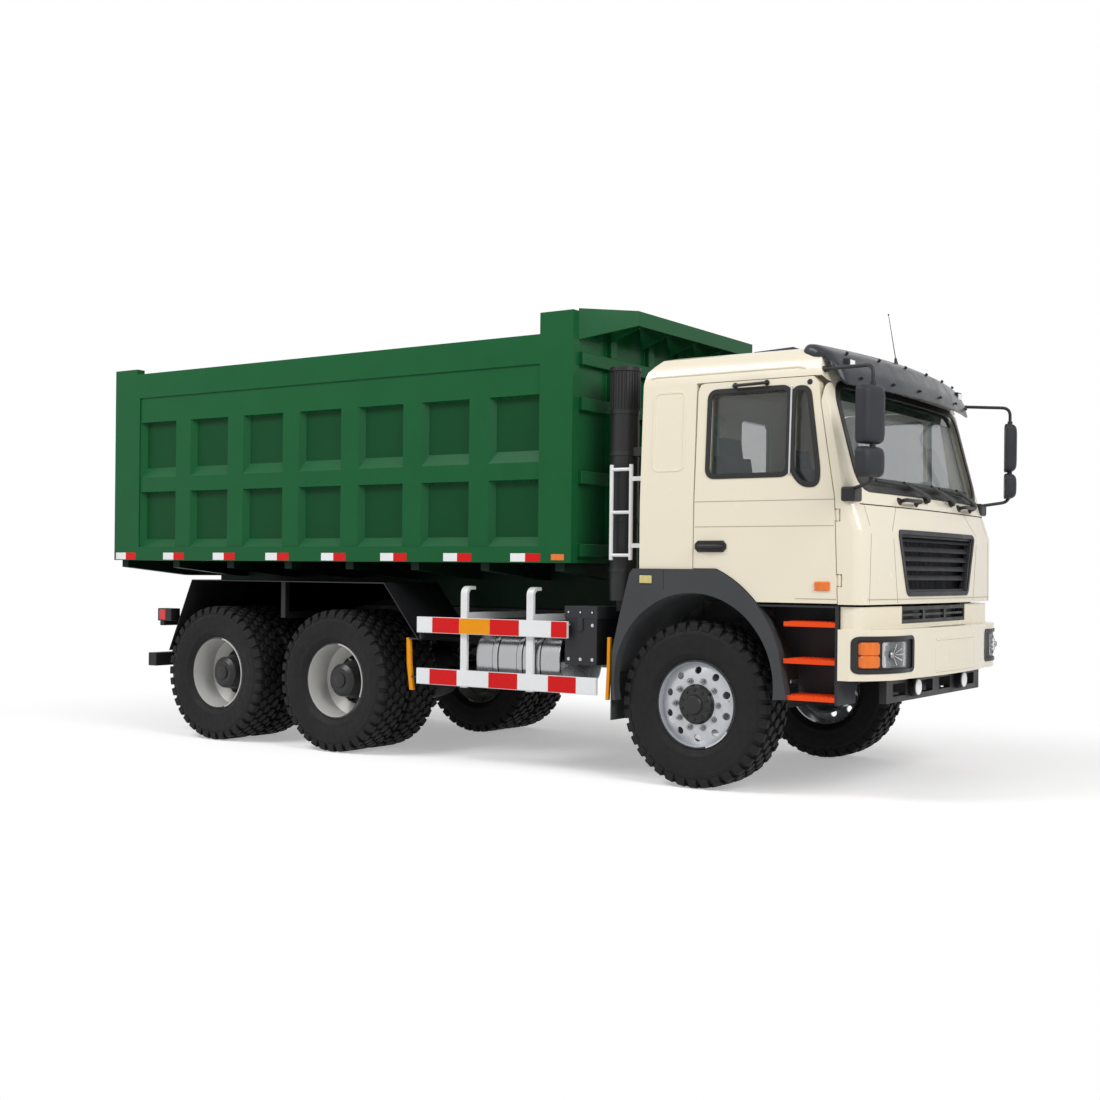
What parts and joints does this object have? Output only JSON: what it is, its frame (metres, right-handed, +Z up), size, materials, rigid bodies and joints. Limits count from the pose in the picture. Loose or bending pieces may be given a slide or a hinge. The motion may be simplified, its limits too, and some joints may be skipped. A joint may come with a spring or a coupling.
{
  "type": "dump truck",
  "caption": "Heavy dump truck with a forward-control cab, steered front axle, tandem driven axles with twin wheels and a ribbed rear-tipping bed.",
  "frame": {"origin": "on the ground at the middle of the overall length and width", "axes": "+X forward, +Y to the left, +Z up"},
  "size_m": [7.3068, 2.88, 3.301],
  "materials": {
    "chassis_black": "satin black paint",
    "cab_cream": "gloss cream paint",
    "bed_green": "gloss green paint",
    "tyre": "black rubber",
    "rim_grey": "light grey paint, black hub",
    "rim_silver": "silver paint",
    "tank_metal": "brushed tank shell",
    "dark_plastic": "grained dark grey plastic",
    "fender_paint": "gloss cream paint with dark liner",
    "guard_white": "white paint with red and white bands",
    "step_orange": "orange-red paint",
    "lamp": "clear lens",
    "glass": "clear glass",
    "seat_fabric": "woven dark fabric",
    "cab_plastic": "grained grey plastic",
    "hoist_steel": "ground steel",
    "axle_iron": "painted casting"
  },
  "bodies": {
    "chassis": {"frame_rails": "chassis_black", "cross_members": "chassis_black", "engine_block": "axle_iron", "front_axle": "axle_iron", "rear_axles": "axle_iron", "drive_shafts": "axle_iron", "fuel_tank": "tank_metal", "battery_box": "dark_plastic", "air_tanks": "chassis_black", "side_guards": "guard_white", "rear_mudguards": "dark_plastic", "rear_bar": "chassis_black", "front_bumper": "cab_cream", "lamps": "lamp", "step_housings": "dark_plastic", "step_treads": "step_orange", "front_fenders": "dark_plastic", "front_valance": "dark_plastic", "roof_hatch": "dark_plastic", "cab_body": "cab_cream", "cab_roof": "cab_cream", "cab_front": "cab_cream", "windscreen": "glass", "rear_glass": "glass", "grille": "dark_plastic", "sun_visor": "dark_plastic", "mirrors": "dark_plastic", "seats": "seat_fabric", "dashboard": "cab_plastic", "intake_stack": "dark_plastic", "side_ladder": "guard_white"},
    "door_left": {"door_left": "cab_cream", "door_glass_left": "glass"},
    "door_right": {"door_right": "cab_cream", "door_glass_right": "glass"},
    "knuckle_left": {"knuckle_left": "axle_iron"},
    "knuckle_right": {"knuckle_right": "axle_iron"},
    "front_wheel_left": {"front_rim_left": "rim_silver", "front_tyre_left": "tyre"},
    "front_wheel_right": {"front_rim_right": "rim_silver", "front_tyre_right": "tyre"},
    "mid_wheels_left": {"mid_rims_left": "rim_grey", "mid_tyres_left": "tyre"},
    "mid_wheels_right": {"mid_rims_right": "rim_grey", "mid_tyres_right": "tyre"},
    "rear_wheels_left": {"rear_rims_left": "rim_grey", "rear_tyres_left": "tyre"},
    "rear_wheels_right": {"rear_rims_right": "rim_grey", "rear_tyres_right": "tyre"},
    "bed": {"bed_floor": "bed_green", "bed_sides": "bed_green", "bed_front": "bed_green", "bed_canopy": "bed_green"},
    "tailgate": {"tailgate": "bed_green"},
    "hoist_barrel": {"hoist_barrel": "chassis_black"},
    "hoist_rod": {"hoist_rod": "hoist_steel"}
  },
  "joints": [
    {"name": "steer_left", "type": "hinge", "parent": "chassis", "child": "knuckle_left", "pos_m": [2.2515, 0.9, 0.5625], "axis": [0, 0, 1], "range_deg": [-35, 35]},
    {"name": "steer_right", "type": "hinge", "parent": "chassis", "child": "knuckle_right", "pos_m": [2.2515, -0.9, 0.5625], "axis": [0, 0, 1], "range_deg": [-35, 35]},
    {"name": "roll_front_left", "type": "hinge", "parent": "knuckle_left", "child": "front_wheel_left", "pos_m": [2.2515, 1.018, 0.5625], "axis": [0, 1, 0], "continuous": true},
    {"name": "roll_front_right", "type": "hinge", "parent": "knuckle_right", "child": "front_wheel_right", "pos_m": [2.2515, -1.018, 0.5625], "axis": [0, 1, 0], "continuous": true},
    {"name": "roll_mid_left", "type": "hinge", "parent": "chassis", "child": "mid_wheels_left", "pos_m": [-0.9985, 0.907, 0.5625], "axis": [0, 1, 0], "continuous": true},
    {"name": "roll_mid_right", "type": "hinge", "parent": "chassis", "child": "mid_wheels_right", "pos_m": [-0.9985, -0.907, 0.5625], "axis": [0, 1, 0], "continuous": true},
    {"name": "roll_rear_left", "type": "hinge", "parent": "chassis", "child": "rear_wheels_left", "pos_m": [-2.3485, 0.907, 0.5625], "axis": [0, 1, 0], "continuous": true},
    {"name": "roll_rear_right", "type": "hinge", "parent": "chassis", "child": "rear_wheels_right", "pos_m": [-2.3485, -0.907, 0.5625], "axis": [0, 1, 0], "continuous": true},
    {"name": "door_left_swing", "type": "hinge", "parent": "chassis", "child": "door_left", "pos_m": [3.3285, 1.211, 1.255], "axis": [0.0388, 0, -0.9992], "range_deg": [0, 70]},
    {"name": "door_right_swing", "type": "hinge", "parent": "chassis", "child": "door_right", "pos_m": [3.3285, -1.211, 1.255], "axis": [-0.0388, 0, 0.9992], "range_deg": [0, 70]},
    {"name": "bed_tip", "type": "hinge", "parent": "chassis", "child": "bed", "pos_m": [-3.0985, 0, 1.23], "axis": [0, -1, 0], "range_deg": [0, 45]},
    {"name": "tailgate_swing", "type": "hinge", "parent": "bed", "child": "tailgate", "pos_m": [-3.5615, 0, 3.102], "axis": [0, 1, 0], "range_deg": [0, 60]},
    {"name": "hoist_tilt", "type": "hinge", "parent": "chassis", "child": "hoist_barrel", "pos_m": [0.4515, 0, 0.9], "axis": [0, 1, 0], "range_deg": [0, 15.48]},
    {"name": "hoist_extend", "type": "slide", "parent": "hoist_barrel", "child": "hoist_rod", "axis": [-0.986, 0, 0.1668], "range_m": [0, 0.6544]}
  ],
  "couplings": [
    {"joint": "steer_right", "follows": "steer_left", "ratio": 1},
    {"joint": "hoist_tilt", "follows": "bed_tip", "ratio": 0.3374},
    {"joint": "hoist_extend", "follows": "bed_tip", "m_per_rad": 0.82679}
  ]
}
